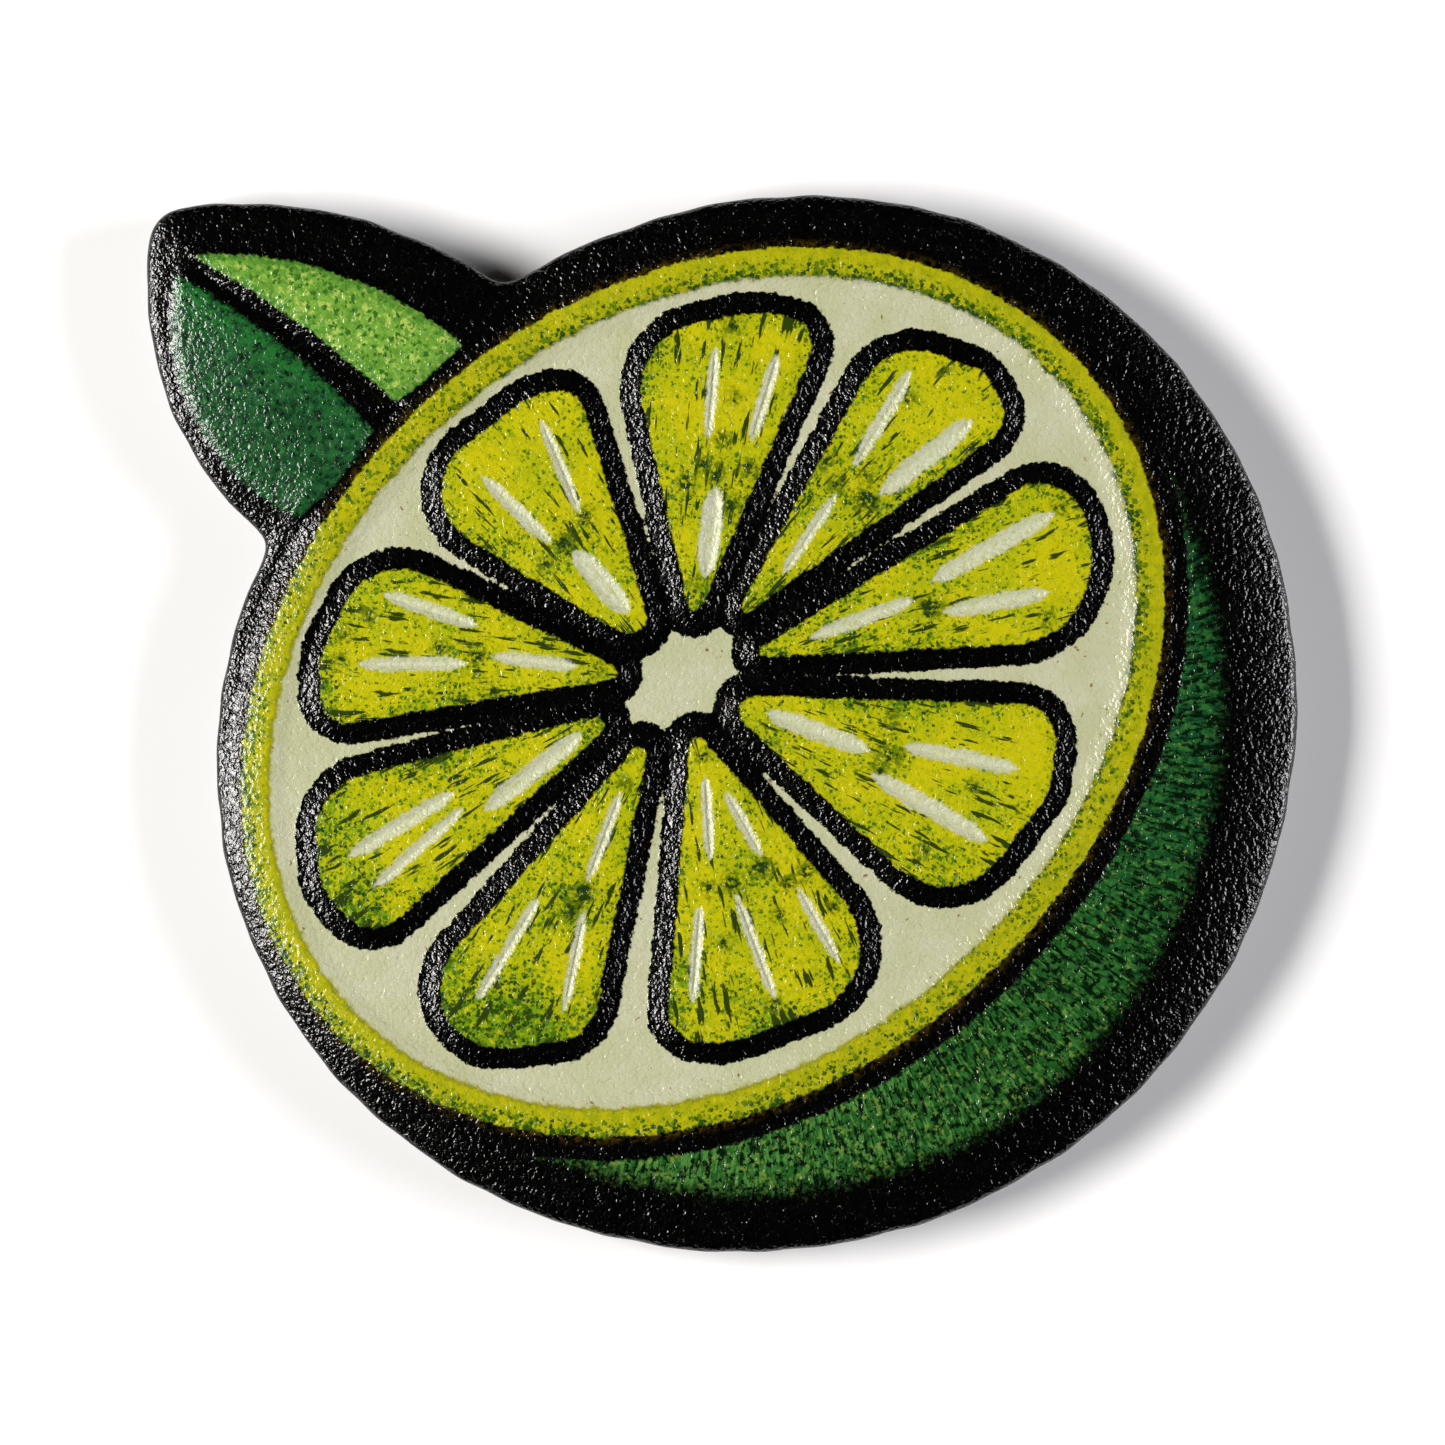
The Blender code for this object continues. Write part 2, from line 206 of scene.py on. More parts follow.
def outline_of_segment(corners, corner_steps=9):
    """Straight sides with a rounded corner between each two."""
    points = []
    for before, corner, after in zip(corners[-1:] + corners[:-1], corners, corners[1:] + corners[:1]):
        to_before = math.atan2(before[1] - corner[1], before[0] - corner[0])
        to_after = math.atan2(after[1] - corner[1], after[0] - corner[0])
        spread = (to_after - to_before + math.pi) % (2 * math.pi) - math.pi
        half = abs(spread) / 2
        room = 0.5 * min(math.dist(before[:2], corner[:2]), math.dist(after[:2], corner[:2]))
        radius = min(corner[2], room * math.tan(half))
        reach = radius / math.sin(half)
        middle = to_before + spread / 2
        centre = np.array((corner[0] + reach * math.cos(middle), corner[1] + reach * math.sin(middle)))
        first = to_before - math.copysign(math.pi / 2, spread)
        angle = first - math.copysign(math.pi - 2 * half, spread) * np.linspace(0, 1, corner_steps)
        points.append(centre + radius * np.column_stack((np.cos(angle), np.sin(angle))))
    return disc_centre + np.vstack(points)


def depth_inside(outline, places):
    """How far each place lies inside a closed outline, and negative outside it."""
    x, y = np.ascontiguousarray(places.T)
    nearest = np.full(len(places), np.inf)
    inside = np.zeros(len(places), bool)
    for (start_x, start_y), (way_x, way_y) in zip(outline, np.roll(outline, -1, axis=0) - outline):
        gap_x = x - start_x
        gap_y = y - start_y
        share = np.clip((gap_x * way_x + gap_y * way_y) / (way_x * way_x + way_y * way_y), 0, 1)
        nearest = np.minimum(nearest, (gap_x - share * way_x) ** 2 + (gap_y - share * way_y) ** 2)
        if way_y:
            crossed = (y < start_y) != (y < start_y + way_y)
            inside ^= crossed & (gap_x < gap_y * way_x / way_y)
    return np.where(inside, 1, -1) * np.sqrt(nearest)


def evenly_spaced(outline, spacing):
    """The same closed outline with its points this far apart."""
    closed = np.vstack((outline, outline[:1]))
    along = np.concatenate(([0], np.cumsum(np.linalg.norm(np.diff(closed, axis=0), axis=1))))
    stations = np.linspace(0, along[-1], round(along[-1] / spacing), endpoint=False)
    return np.column_stack([np.interp(stations, along, closed[:, axis]) for axis in (0, 1)])


def outward_directions(outline):
    """The outward direction at each point of an outline that turns anticlockwise."""
    way = np.roll(outline, -1, axis=0) - np.roll(outline, 1, axis=0)
    return np.column_stack((way[:, 1], -way[:, 0])) / np.linalg.norm(way, axis=1)[:, None]


def cut_outline(spacing=0.12, rounding_passes=18, waver=0.03, waves=(17, 29, 46, 71)):
    """The whole cut edge, anticlockwise. The steel rule rounds its notches and wavers a little."""
    fruit = fruit_edge(np.arange(0, 360, 0.5))
    leaf = outline_of_leaf()
    bare_fruit = depth_inside(leaf, fruit) < 0
    bare_leaf = leaf[depth_inside(fruit, leaf) < 0][::-1]
    last_bare = np.flatnonzero(bare_fruit & ~np.roll(bare_fruit, -1))[0]
    fruit = np.roll(fruit, -1 - last_bare, axis=0)
    bare_fruit = np.roll(bare_fruit, -1 - last_bare)
    outline = evenly_spaced(np.vstack((fruit[bare_fruit], bare_leaf)), spacing)
    for _ in range(rounding_passes):
        outline = (np.roll(outline, 1, axis=0) + 2 * outline + np.roll(outline, -1, axis=0)) / 4
    turn = np.linspace(0, 2 * math.pi, len(outline), endpoint=False)
    bends = sum(np.sin(count * turn + count) for count in waves) / 2
    return outline + waver * bends[:, None] * outward_directions(outline)


def placed_streaks():
    """For each streak its start, the way from there to its end, and half its width."""
    for start_x, start_y, end_x, end_y, half_width in streaks:
        start = disc_centre + (start_x, start_y)
        yield start, disc_centre + (end_x, end_y) - start, half_width


def streak_reach(half_width, share):
    """Half a streak's width at a share of its length. It is nearly even, with blunt ends."""
    return half_width * np.maximum(0.0, 1 - np.abs(2 * share - 1) ** 5) ** 0.8


def leaf_half_depths(places):
    """How far each place lies inside the leaf's light half and inside its dark half."""
    return [depth_inside(outline_of_leaf_half(half), places) for half in (leaf_light_half, leaf_dark_half)]


# The depth that stands for a place far from every streak or spot
far_outside = -9.0


def streak_depth(places):
    """How far each place lies inside the nearest streak."""
    deepest = np.full(len(places), far_outside)
    for start, way, half_width in placed_streaks():
        gap = places - start
        share = np.clip(gap @ way / (way @ way), 0, 1)
        away = np.linalg.norm(gap - share[:, None] * way, axis=1)
        deepest = np.maximum(deepest, streak_reach(half_width, share) - away)
    return deepest


def spot_depth(places):
    """How far each place lies inside the nearest spot."""
    deepest = np.full(len(places), far_outside)
    for x, y, radius in spots:
        away = np.linalg.norm(places - disc_centre - (x, y), axis=1)
        deepest = np.maximum(deepest, radius - away)
    return deepest


def airbrushed(places):
    """How strongly the airbrush greens each place."""
    green = np.zeros(len(places))
    for x, y, spread, strength in airbrush:
        away = np.linalg.norm(places - disc_centre - (x, y), axis=1)
        green += strength * np.exp(-((away / spread) ** 2))
    return green


def growth_within_segments(places, core_fan=0.5, fan_per_mm=0.05, segments_apart=40.0):
    """For each place, how far it is from the core along its own segment and across it, fanned out like the
    pulp, and a number for its segment, so that no two segments have the same marks. Also how deep inside
    the nearest segment it lies."""
    found = np.zeros((len(places), 3))
    nearest = np.full(len(places), -np.inf)
    for number, corners in enumerate(segments.values()):
        depth = depth_inside(outline_of_segment(corners), places)
        axis = np.mean([corner[:2] for corner in corners[1:]], axis=0) + disc_centre - core
        axis /= np.linalg.norm(axis)
        along = (places - core) @ axis
        across = (places - core) @ np.array((-axis[1], axis[0]))
        across = across / (core_fan + fan_per_mm * np.clip(along, 0, None))
        here = depth > nearest
        found[here] = np.column_stack((along, across, np.full(len(places), segments_apart * number)))[here]
        nearest = np.maximum(nearest, depth)
    return found, nearest


relief = 0.2
glue_line = 0.02
edge = cut_outline()
middle = (edge.min(axis=0) + edge.max(axis=0)) / 2
leather_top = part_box("embossed_leather")[1].z / MM
backing_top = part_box("suede_backing")[1].z / MM
blank_level = leather_top - relief
underside_level = backing_top + glue_line


def lattice_points(spacing, row_ratio=0.866):
    """Points in equal triangles over the whole face, and which of them a lattice twice as coarse has."""
    low = edge.min(axis=0)
    high = edge.max(axis=0)
    rows = np.arange(int((high[1] - low[1]) / (spacing * row_ratio)) + 2)
    columns = np.arange(int((high[0] - low[0]) / spacing) + 2)
    row, column = (grid.ravel() for grid in np.meshgrid(rows, columns, indexing="ij"))
    x = low[0] + (column + 0.5 * (row % 2)) * spacing
    y = low[1] + row * spacing * row_ratio
    coarse = ((row % 4 == 0) & (column % 2 == 0)) | ((row % 4 == 2) & (column % 2 == 1))
    return np.column_stack((x, y)), coarse


def streak_points(spacing, lip=0.1, overrun=0.02):
    """Points along and across each streak, so that its groove has clean walls."""
    points = []
    for start, way, half_width in placed_streaks():
        length = np.linalg.norm(way)
        side = np.array((-way[1], way[0])) / length
        for share in np.linspace(-overrun, 1 + overrun, int(length / spacing)):
            reach = lip + streak_reach(half_width, share)
            steps = max(2, round(reach / lip))
            points += [start + way * share + side * reach * step / steps for step in range(-steps, steps + 1)]
    return np.array(points)


def face_points(spacing=0.13, edge_rings=(0.07, 0.17, 0.29), edge_clearance=0.4, streak_clearance=0.12):
    """The points of the upper surface, close together where the die or the inks change."""
    places, coarse = lattice_points(spacing)
    clear = depth_inside(edge[::2], places) > edge_clearance
    places = places[clear]
    coarse = coarse[clear]
    _, segment = growth_within_segments(places)
    disc = depth_inside(outline_of_disc(), places)
    fruit = depth_inside(outline_of_fruit(), places)
    leaf = np.maximum(*leaf_half_depths(places))

    # The bands round each outline in which the surface or its ink changes
    busy = (segment > -1.25) & (segment < 0.6)
    busy |= (disc > -1.3) & (disc < 1.9)
    busy |= (np.abs(fruit - peel_border) < 0.5) & (disc < 0)
    busy |= np.abs(leaf) < 0.5
    busy |= np.abs(spot_depth(places)) < 0.2
    streak = streak_depth(places)
    busy |= streak > -0.4
    keep = (busy | coarse) & (streak < -streak_clearance)
    rings = [edge - outward_directions(edge) * inset for inset in edge_rings]
    return np.vstack((edge, *rings, places[keep], streak_points(spacing)))


def triangles_inside(points, edge_count):
    """Joins points into triangles inside the edge that the first of them make. All triangles face up."""
    edges = [(index, (index + 1) % edge_count) for index in range(edge_count)]
    made = delaunay_2d_cdt([Vector(point) for point in points], edges, [], 0, 1e-5, True)
    corners = np.array([tuple(vertex) for vertex in made[0]])
    order = np.array([originals[0] for originals in made[3]])
    faces = np.array(made[2])
    doubtful = np.flatnonzero((order[faces] < edge_count).all(axis=1))
    outside = depth_inside(points[:edge_count], corners[faces[doubtful]].mean(axis=1)) < 0
    faces = np.delete(faces, doubtful[outside], axis=0)
    a, b, c = (corners[faces[:, index]] for index in range(3))
    twice_area = (b - a)[:, 0] * (c - a)[:, 1] - (b - a)[:, 1] * (c - a)[:, 0]
    faces[twice_area < 0] = faces[twice_area < 0][:, ::-1]
    return corners, faces, order


def wall_between(rings):
    """Four-sided faces from each ring of vertices to the next one down."""
    pairs = zip(rings, rings[1:])
    return np.vstack([np.column_stack((a, b, np.roll(b, -1), np.roll(a, -1))) for a, b in pairs])


def leather_blank(wall_steps=6, burr_height=0.02, undercut=0.05, unrolled_wall=1.4):
    """The flat leather before the die comes down: the upper surface, the cut wall under it, and the
    underside. The rule leaves small burrs down the wall, and cuts it a little under."""
    corners, faces, order = triangles_inside(face_points(), len(edge))
    place_of = {original: index for index, original in enumerate(order)}
    rim = np.array([place_of[index] for index in range(len(edge))])
    outward = outward_directions(edge)
    vertices = [np.column_stack((corners, np.full(len(corners), blank_level)))]
    shares = [np.ones(len(corners))]
    outsets = [np.zeros((len(corners), 2))]
    rings = [rim]
    total = len(corners)
    for step in range(1, wall_steps + 1):
        share = 1 - step / wall_steps
        level = underside_level + (blank_level - underside_level) * share
        burr = burr_height * np.sin(np.arange(len(edge)) * 0.9 + step) - undercut * (1 - share)
        ring = edge + outward * burr[:, None]
        vertices.append(np.column_stack((ring, np.full(len(edge), level))))
        shares.append(np.full(len(edge), share))
        outsets.append(outward * unrolled_wall * (1 - share))
        rings.append(total + np.arange(len(edge)))
        total += len(edge)
    _, under, under_order = triangles_inside(edge, len(edge))
    under = rings[-1][under_order[under]][:, ::-1]
    all_faces = faces.tolist() + wall_between(rings).tolist() + under.tolist()
    on_rim = np.isin(np.arange(total), rim)
    return np.vstack(vertices), all_faces, np.concatenate(shares), np.vstack(outsets), on_rim, len(under)


def add_attribute(mesh, name, values):
    """Gives each vertex a number, or three numbers."""
    kind, field = ("FLOAT", "value") if values.ndim == 1 else ("FLOAT_VECTOR", "vector")
    made = mesh.attributes.new(name, kind, "POINT")
    made.data.foreach_set(field, values.astype(np.float32).ravel())


def new_piece(name, mesh):
    """Puts a mesh into the scene as an object of its own."""
    piece = bpy.data.objects.new(name, mesh)
    bpy.context.scene.collection.objects.link(piece)
    return piece


vertices, faces, shares, outsets, on_rim, under_count = leather_blank()
places = vertices[:, :2]
growth, segment_depth = growth_within_segments(places)
light_half, dark_half = leaf_half_depths(places)
rib_start, rib_end = (leaf_foot + end for end in leaf_midrib)
rib_way = (rib_end - rib_start) / np.linalg.norm(rib_end - rib_start)
blank = bpy.data.meshes.new("leather_blank")
blank.from_pydata((np.column_stack((places - middle, vertices[:, 2])) * MM).tolist(), [], faces)

# What the die and the inks go by at each vertex. The face share is 1 on the face and falls to 0 down the wall
blank_values = {
    "face_share": shares,
    "edge_depth": np.where((shares < 1) | on_rim, 0, np.maximum(depth_inside(edge[::2], places), 0)),
    "fruit_depth": depth_inside(outline_of_fruit(), places),
    "disc_depth": depth_inside(outline_of_disc(), places),
    "segment_depth": segment_depth,
    "growth": growth,
    "leaf_light": light_half,
    "leaf_dark": dark_half,
    "midrib": (places - rib_start) @ np.array((-rib_way[1], rib_way[0])),
    "streak_depth": streak_depth(places),
    "spot_depth": spot_depth(places),
    "green": airbrushed(places),
    "flat_place": np.column_stack((places + outsets, shares)),
}
for name, values in blank_values.items():
    add_attribute(blank, name, values)


def add_node(tree, kind, inputs=None, **settings):
    """Adds a node. Each of its inputs is a number, a colour, a name, or the output of another node."""
    made = tree.nodes.new(kind)
    for name, value in settings.items():
        setattr(made, name, value)
    for name, value in (inputs or {}).items():
        if isinstance(value, bpy.types.NodeSocket):
            tree.links.new(value, made.inputs[name])
        else:
            made.inputs[name].default_value = value
    return made


def maths(tree, operation, *values, clamped=False):
    inputs = dict(enumerate(values))
    return add_node(tree, "ShaderNodeMath", inputs, operation=operation, use_clamp=clamped).outputs[0]


def vector_maths(tree, operation, first, second):
    """Scales a vector by a number, or adds, subtracts or multiplies two vectors."""
    inputs = {0: first, "Scale" if operation == "SCALE" else 1: second}
    return add_node(tree, "ShaderNodeVectorMath", inputs, operation=operation).outputs[0]


def rise(tree, value, start, end, low=0.0, high=1.0):
    """Goes smoothly from low to high as the value goes from start to end."""
    inputs = {"Value": value, "From Min": start, "From Max": end, "To Min": low, "To Max": high}
    return add_node(tree, "ShaderNodeMapRange", inputs, interpolation_type="SMOOTHSTEP").outputs["Result"]


# What the die does to the leather, in millimetres, but for the power that curves the slope and the waves
die_sizes = {
    "Slope Width": 2.5,
    "Slope Drop": 0.54,
    "Slope Curve": 1.45,
    "Lip Width": 0.32,
    "Lip Drop": 0.17,
    "Pith Depth": 0.18,
    "Segment Rise": 0.24,
    "Segment Crown": 0.05,
    "Rind Rise": 0.05,
    "Line Depth": 0.05,
    "Peel Rise": 0.04,
    "Leaf Rise": 0.13,
    "Midrib Depth": 0.2,
    "Streak Depth": 0.16,
    "Unevenness": 0.04,
    "Waves Per Metre": 900.0,
}


def emboss_tree():
    """Lifts and sinks the blank as the die does, each form by how deep a place lies inside its outline.
    The cut wall follows the face above it, less and less towards its foot."""
    tree = bpy.data.node_groups.new("emboss", "GeometryNodeTree")
    tree.interface.new_socket("Leather", in_out="INPUT", socket_type="NodeSocketGeometry")
    for name in die_sizes:
        tree.interface.new_socket(name, in_out="INPUT", socket_type="NodeSocketFloat")
    tree.interface.new_socket("Finish", in_out="INPUT", socket_type="NodeSocketMaterial")
    tree.interface.new_socket("Leather", in_out="OUTPUT", socket_type="NodeSocketGeometry")
    given = add_node(tree, "NodeGroupInput").outputs

    def attribute(name):
        return add_node(tree, "GeometryNodeInputNamedAttribute", {"Name": name}, data_type="FLOAT").outputs[0]

    def sunk(name):
        return maths(tree, "MULTIPLY", -1.0, given[name])

    def nearness(width):
        """1 at the cut edge, falling evenly to 0 at this width from it."""
        return maths(tree, "SUBTRACT", 1.0, maths(tree, "DIVIDE", depth, width), clamped=True)

    def form(height, *ramps):
        """A height, kept where every one of these ramps lets it through."""
        for value, start, end, low, high in ramps:
            height = maths(tree, "MULTIPLY", height, rise(tree, value, start, end, low, high))
        return height

    depth = attribute("edge_depth")
    disc = attribute("disc_depth")
    segment = attribute("segment_depth")
    leaf = maths(tree, "MAXIMUM", attribute("leaf_light"), attribute("leaf_dark"))
    off_fruit = maths(tree, "MULTIPLY", attribute("fruit_depth"), -1.0)
    streak = attribute("streak_depth")
    off_rib = maths(tree, "ABSOLUTE", attribute("midrib"))

    # A ramp is the depth it follows, the two depths it runs between, and its height at each
    forms = [
        form(sunk("Pith Depth"), (disc, rind_width - 0.15, rind_width + 0.75, 0, 1)),
        form(given["Segment Rise"], (segment, -segment_line - 0.15, 0.3, 0, 1)),
        form(given["Segment Crown"], (segment, 0.0, 2.0, 0, 1)),
        form(given["Rind Rise"], (disc, -0.45, 0.3, 0, 1), (disc, 0.8, 1.25, 1, 0)),
        form(sunk("Line Depth"), (disc, -1.15, -0.75, 0, 1), (disc, -0.6, -0.25, 1, 0)),
        form(given["Peel Rise"], (disc, -1.9, -0.9, 1, 0), (attribute("fruit_depth"), 2.0, 3.4, 0, 1)),
        form(given["Leaf Rise"], (leaf, -0.25, 0.4, 0, 1)),
        form(sunk("Midrib Depth"), (off_rib, 0.0, 0.42, 1, 0), (off_fruit, -1.4, -0.6, 0, 1),
             (depth, 1.2, 2.4, 0, 1)),
        form(sunk("Streak Depth"), (streak, -0.06, 0.28, 0, 1)),
    ]
    height = forms[0]
    for extra in forms[1:]:
        height = maths(tree, "ADD", height, extra)

    # The border slopes down to the cut edge, further over the leaf, and turns over sharply at the very edge
    wider_on_leaf = rise(tree, off_fruit, -1.0, 1.0, 0.0, 1.2)
    slope = nearness(maths(tree, "ADD", wider_on_leaf, given["Slope Width"]))
    slope = maths(tree, "MULTIPLY", maths(tree, "POWER", slope, given["Slope Curve"]), given["Slope Drop"])
    lip = nearness(given["Lip Width"])
    flat = maths(tree, "SQRT", maths(tree, "SUBTRACT", 1.0, maths(tree, "MULTIPLY", lip, lip)))
    turned = maths(tree, "MULTIPLY", maths(tree, "SUBTRACT", 1.0, flat), given["Lip Drop"])
    height = maths(tree, "SUBTRACT", maths(tree, "SUBTRACT", height, slope), turned)

    place = add_node(tree, "GeometryNodeInputPosition").outputs[0]
    waves = {"Vector": place, "Scale": given["Waves Per Metre"], "Detail": 2.0}
    waves = add_node(tree, "ShaderNodeTexNoise", waves).outputs[0]
    unevenness = maths(tree, "MULTIPLY", maths(tree, "SUBTRACT", waves, 0.5), given["Unevenness"])
    height = maths(tree, "MULTIPLY", maths(tree, "ADD", height, unevenness), attribute("face_share"))
    offset = add_node(tree, "ShaderNodeCombineXYZ", {"Z": maths(tree, "MULTIPLY", height, MM)}).outputs[0]
    lifted = {"Geometry": given["Leather"], "Offset": offset}
    lifted = add_node(tree, "GeometryNodeSetPosition", lifted).outputs[0]
    real = add_node(tree, "GeometryNodeRealizeInstances", {"Geometry": lifted}).outputs[0]
    finished = {"Geometry": real, "Material": given["Finish"]}
    finished = add_node(tree, "GeometryNodeSetMaterial", finished).outputs[0]
    add_node(tree, "NodeGroupOutput", {"Leather": finished})
    return tree


def plain_mesh(piece, name):
    """The piece's evaluated shape as a mesh of its own."""
    graph = bpy.context.evaluated_depsgraph_get()
    shaped = piece.evaluated_get(graph)
    mesh = bpy.data.meshes.new_from_object(shaped, preserve_all_data_layers=True, depsgraph=graph)
    mesh.name = name
    return mesh


# Helpers for the materials of the leather here and the suede further down


def new_group(name, numbers, output):
    """A group of nodes that takes a place and these numbers, and gives one number."""
    tree = bpy.data.node_groups.new(name, "ShaderNodeTree")
    tree.interface.new_socket("Place", in_out="INPUT", socket_type="NodeSocketVector")
    for number_name, value in numbers.items():
        socket = tree.interface.new_socket(number_name, in_out="INPUT", socket_type="NodeSocketFloat")
        socket.default_value = value
    tree.interface.new_socket(output, in_out="OUTPUT", socket_type="NodeSocketFloat")
    return tree, add_node(tree, "NodeGroupInput").outputs


def noise(tree, place, scale, detail=2.0, roughness=0.5, distortion=0.0):
    """A cloudy noise, first as a number and then as a colour."""
    inputs = {"Vector": place, "Scale": scale, "Detail": detail, "Roughness": roughness}
    inputs["Distortion"] = distortion
    return add_node(tree, "ShaderNodeTexNoise", inputs).outputs


def pushed_about(tree, place, scale, detail, reach):
    """The place moved about by a coloured noise, which makes even cells uneven."""
    push = vector_maths(tree, "SUBTRACT", noise(tree, place, scale, detail)[1], (0.5, 0.5, 0.5))
    return vector_maths(tree, "ADD", place, vector_maths(tree, "SCALE", push, reach))


def droplet_group():
    """Droplets of ink: round drops of many sizes that together cover a given share of the surface."""
    tree, given = new_group("droplets", {"Per Millimetre": 5.0, "Share": 0.3, "Softness": 0.1}, "Mask")
    scale = given["Per Millimetre"]
    reach = maths(tree, "DIVIDE", 1.1, scale)
    place = pushed_about(tree, given["Place"], maths(tree, "MULTIPLY", scale, 1.7), 1.0, reach)
    cells = add_node(tree, "ShaderNodeTexVoronoi", {"Vector": place, "Scale": scale}).outputs
    chance = add_node(tree, "ShaderNodeSeparateColor", {"Color": cells["Color"]}).outputs[0]
    share = maths(tree, "MAXIMUM", given["Share"], 0.0)
    size = maths(tree, "MULTIPLY_ADD", chance, 1.1, -0.05)
    radius = maths(tree, "MULTIPLY", maths(tree, "SQRT", share), size)
    gap = maths(tree, "SUBTRACT", radius, cells["Distance"])
    soft = given["Softness"]
    add_node(tree, "NodeGroupOutput", {"Mask": rise(tree, gap, maths(tree, "MULTIPLY", soft, -1.0), soft)})
    return tree


def mist_group():
    """A sprayed mist: soft uneven patches that cover a given share of the surface."""
    tree, given = new_group("mist", {"Per Millimetre": 3.0, "Share": 0.3, "Softness": 0.1}, "Mask")
    value = noise(tree, given["Place"], given["Per Millimetre"], 3.0, 0.6)[0]
    level = {"Value": given["Share"], "To Min": 0.74, "To Max": 0.28}
    level = add_node(tree, "ShaderNodeMapRange", level).outputs[0]
    start = maths(tree, "SUBTRACT", level, given["Softness"])
    end = maths(tree, "ADD", level, given["Softness"])
    add_node(tree, "NodeGroupOutput", {"Mask": rise(tree, value, start, end)})
    return tree


def grain_group():
    """Pebbled skin: rounded cells with creases between them, and a finer crumple."""
    tree, given = new_group("grain", {"Per Millimetre": 3.0, "Fineness": 0.35}, "Height")
    scale = given["Per Millimetre"]
    place = pushed_about(tree, given["Place"], maths(tree, "MULTIPLY", scale, 0.8), 2.0, 0.5)
    cells = {"Vector": place, "Scale": scale, "Smoothness": 0.4}
    cells = add_node(tree, "ShaderNodeTexVoronoi", cells, feature="SMOOTH_F1").outputs["Distance"]
    pebble = maths(tree, "SUBTRACT", 1.0, maths(tree, "MULTIPLY", cells, cells))
    fine = noise(tree, given["Place"], maths(tree, "MULTIPLY", scale, 1.5), 1.0, 0.5)[0]
    height = maths(tree, "ADD", pebble, maths(tree, "MULTIPLY", fine, given["Fineness"]))
    add_node(tree, "NodeGroupOutput", {"Height": height})
    return tree


droplets = droplet_group()
mist = mist_group()
grain = grain_group()


def use_group(tree, group, inputs):
    """Adds one of these groups and gives its number."""
    return add_node(tree, "ShaderNodeGroup", inputs, node_tree=group).outputs[0]


def colour_mix(tree, share, under, over):
    """The over colour laid on the under colour where the share is 1."""
    made = add_node(tree, "ShaderNodeMix", None, data_type="RGBA")
    for socket, value in ((made.inputs[0], share), (made.inputs[6], under), (made.inputs[7], over)):
        if isinstance(value, bpy.types.NodeSocket):
            tree.links.new(value, socket)
        else:
            socket.default_value = value if isinstance(value, float) else (*value, 1)
    return made.outputs[2]


def new_material(name):
    """A material with its node tree, its surface node, and the place on the piece in millimetres."""
    material = bpy.data.materials.new(name)
    material.use_nodes = True
    tree = material.node_tree
    surface = tree.nodes["Principled BSDF"]
    place = add_node(tree, "ShaderNodeTexCoord").outputs["Object"]
    return material, tree, surface, vector_maths(tree, "SCALE", place, 1 / MM)


def join_surface(tree, surface, colour, roughness, height, specular):
    """Gives a surface its colour, its roughness, its fine relief in millimetres and how much it shines."""
    bump = add_node(tree, "ShaderNodeBump", {"Height": height, "Distance": MM, "Strength": 1.0}).outputs[0]
    tree.links.new(colour, surface.inputs["Base Color"])
    tree.links.new(roughness, surface.inputs["Roughness"])
    tree.links.new(bump, surface.inputs["Normal"])
    surface.inputs["Specular IOR Level"].default_value = specular


# The inks and the leather's own colours, as red, green and blue
inks = {
    "pith": (0.475, 0.475, 0.325),
    "pith tint": (0.425, 0.435, 0.255),
    "pith shade": (0.40, 0.41, 0.22),
    "pith fleck": (0.2, 0.12, 0.05),
    "rind": (0.38, 0.365, 0.003),
    "rind tint": (0.27, 0.29, 0.003),
    "rind stipple": (0.095, 0.16, 0.002),
    "rind speck": (0.02, 0.06, 0.003),
    "pulp": (0.465, 0.43, 0.003),
    "pulp tint": (0.385, 0.4, 0.003),
    "pulp mist": (0.32, 0.345, 0.002),
    "pulp shade": (0.135, 0.25, 0.004),
    "pulp drop": (0.062, 0.135, 0.003),
    "pulp speck": (0.018, 0.05, 0.003),
    "pulp dash": (0.022, 0.04, 0.002),
    "spot halo": (0.11, 0.155, 0.002),
    "spot": (0.012, 0.035, 0.003),
    "streak": (0.5, 0.51, 0.36),
    "streak tint": (0.43, 0.45, 0.22),
    "peel": (0.010, 0.07, 0.008),
    "upper peel": (0.004, 0.056, 0.016),
    "peel mist": (0.022, 0.115, 0.02),
    "dark stroke": (0.0008, 0.008, 0.0015),
    "light stroke": (0.06, 0.19, 0.034),
    "peel drop": (0.12, 0.2, 0.03),
    "peel speck": (0.0005, 0.006, 0.001),
    "light leaf": (0.10, 0.245, 0.024),
    "light leaf tint": (0.17, 0.35, 0.04),
    "light leaf drop": (0.34, 0.46, 0.085),
    "light leaf speck": (0.03, 0.12, 0.012),
    "light leaf rim": (0.06, 0.2, 0.022),
    "dark leaf": (0.006, 0.044, 0.012),
    "dark leaf tint": (0.017, 0.1, 0.024),
    "dark leaf by the rib": (0.013, 0.135, 0.02),
    "dark leaf speck": (0.002, 0.012, 0.004),
    "dark leaf drop": (0.004, 0.02, 0.035),
    "black": (0.0004, 0.00035, 0.0003),
    "worn black": (0.0009, 0.0008, 0.0007),
    "overspray": (0.045, 0.028, 0.002),
    "cut fibre": (0.008, 0.007, 0.006),
    "pale cut fibre": (0.05, 0.042, 0.036),
}
grain_height = 0.043
fibre_height = 0.08
bare_roughness = 0.19
wall_roughness = 0.85


